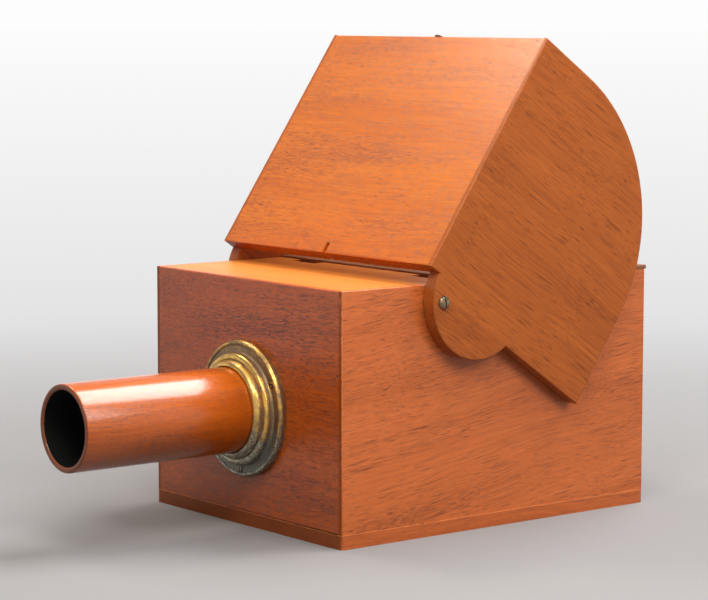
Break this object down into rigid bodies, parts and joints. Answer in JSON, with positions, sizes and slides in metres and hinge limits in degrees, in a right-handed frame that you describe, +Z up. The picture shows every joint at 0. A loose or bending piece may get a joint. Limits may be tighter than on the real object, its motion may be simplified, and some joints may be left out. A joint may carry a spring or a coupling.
{
  "type": "camera obscura",
  "caption": "Wooden box camera obscura with a sliding lens tube in a brass flange, an inner mirror, a lift-out ground-glass screen and a tilting hood that shades it.",
  "frame": {"origin": "middle of the base board's underside", "axes": "+X to the right of someone who faces the front, +Y from the front to the back, +Z up; the lens tube points along -Y"},
  "size_m": [0.2172, 0.3785, 0.301],
  "materials": {
    "mahogany": "varnished, open pores",
    "polished_tube": "glossy varnish, blackened bore",
    "pale_wood": "plain oiled",
    "blackened_wood": "matt black stain",
    "felt": "black felt",
    "aged_brass": "turned, aged lacquer",
    "screw_steel": "plain",
    "silvered_mirror": "silvered glass",
    "lens_glass": "polished",
    "ground_glass": "ground on one face"
  },
  "bodies": {
    "box": {"base_board": "mahogany", "base_screws": "screw_steel", "front_wall": "mahogany", "back_wall": "mahogany", "left_wall": "mahogany", "right_wall": "mahogany", "top_board": "mahogany", "lens_flange": "aged_brass", "flange_screws": "aged_brass", "guide_ring": "blackened_wood", "felt_liner": "felt", "mirror_glass": "silvered_mirror", "mirror_backboard": "blackened_wood", "mirror_stop_low": "blackened_wood", "mirror_stop_high": "blackened_wood", "mirror_bearer_left": "blackened_wood", "mirror_bearer_right": "blackened_wood", "pivot_screw_left": "aged_brass", "pivot_screw_right": "aged_brass", "pivot_washer_left": "aged_brass", "pivot_washer_right": "aged_brass"},
    "hood": {"hood_panel": "mahogany", "hood_cheek_left": "mahogany", "hood_cheek_right": "mahogany", "lift_stud": "aged_brass"},
    "tube": {"lens_tube": "polished_tube", "lens_glass": "lens_glass", "lens_ring": "aged_brass"},
    "screen": {"screen_frame": "pale_wood", "ground_glass": "ground_glass", "screen_bead_front": "pale_wood", "screen_bead_back": "pale_wood", "screen_bead_left": "pale_wood", "screen_bead_right": "pale_wood"}
  },
  "joints": [
    {"name": "hood_tilt", "type": "hinge", "parent": "box", "child": "hood", "pos_m": [0, -0.05365, 0.1433], "axis": [1, 0, 0], "range_deg": [-55.5, 40]},
    {"name": "tube_slide", "type": "slide", "parent": "box", "child": "tube", "axis": [0, 1, 0], "range_m": [-0.012, 0.085]},
    {"name": "screen_lift", "type": "slide", "parent": "box", "child": "screen", "axis": [0, 0, 1], "range_m": [0, 0.03]}
  ]
}
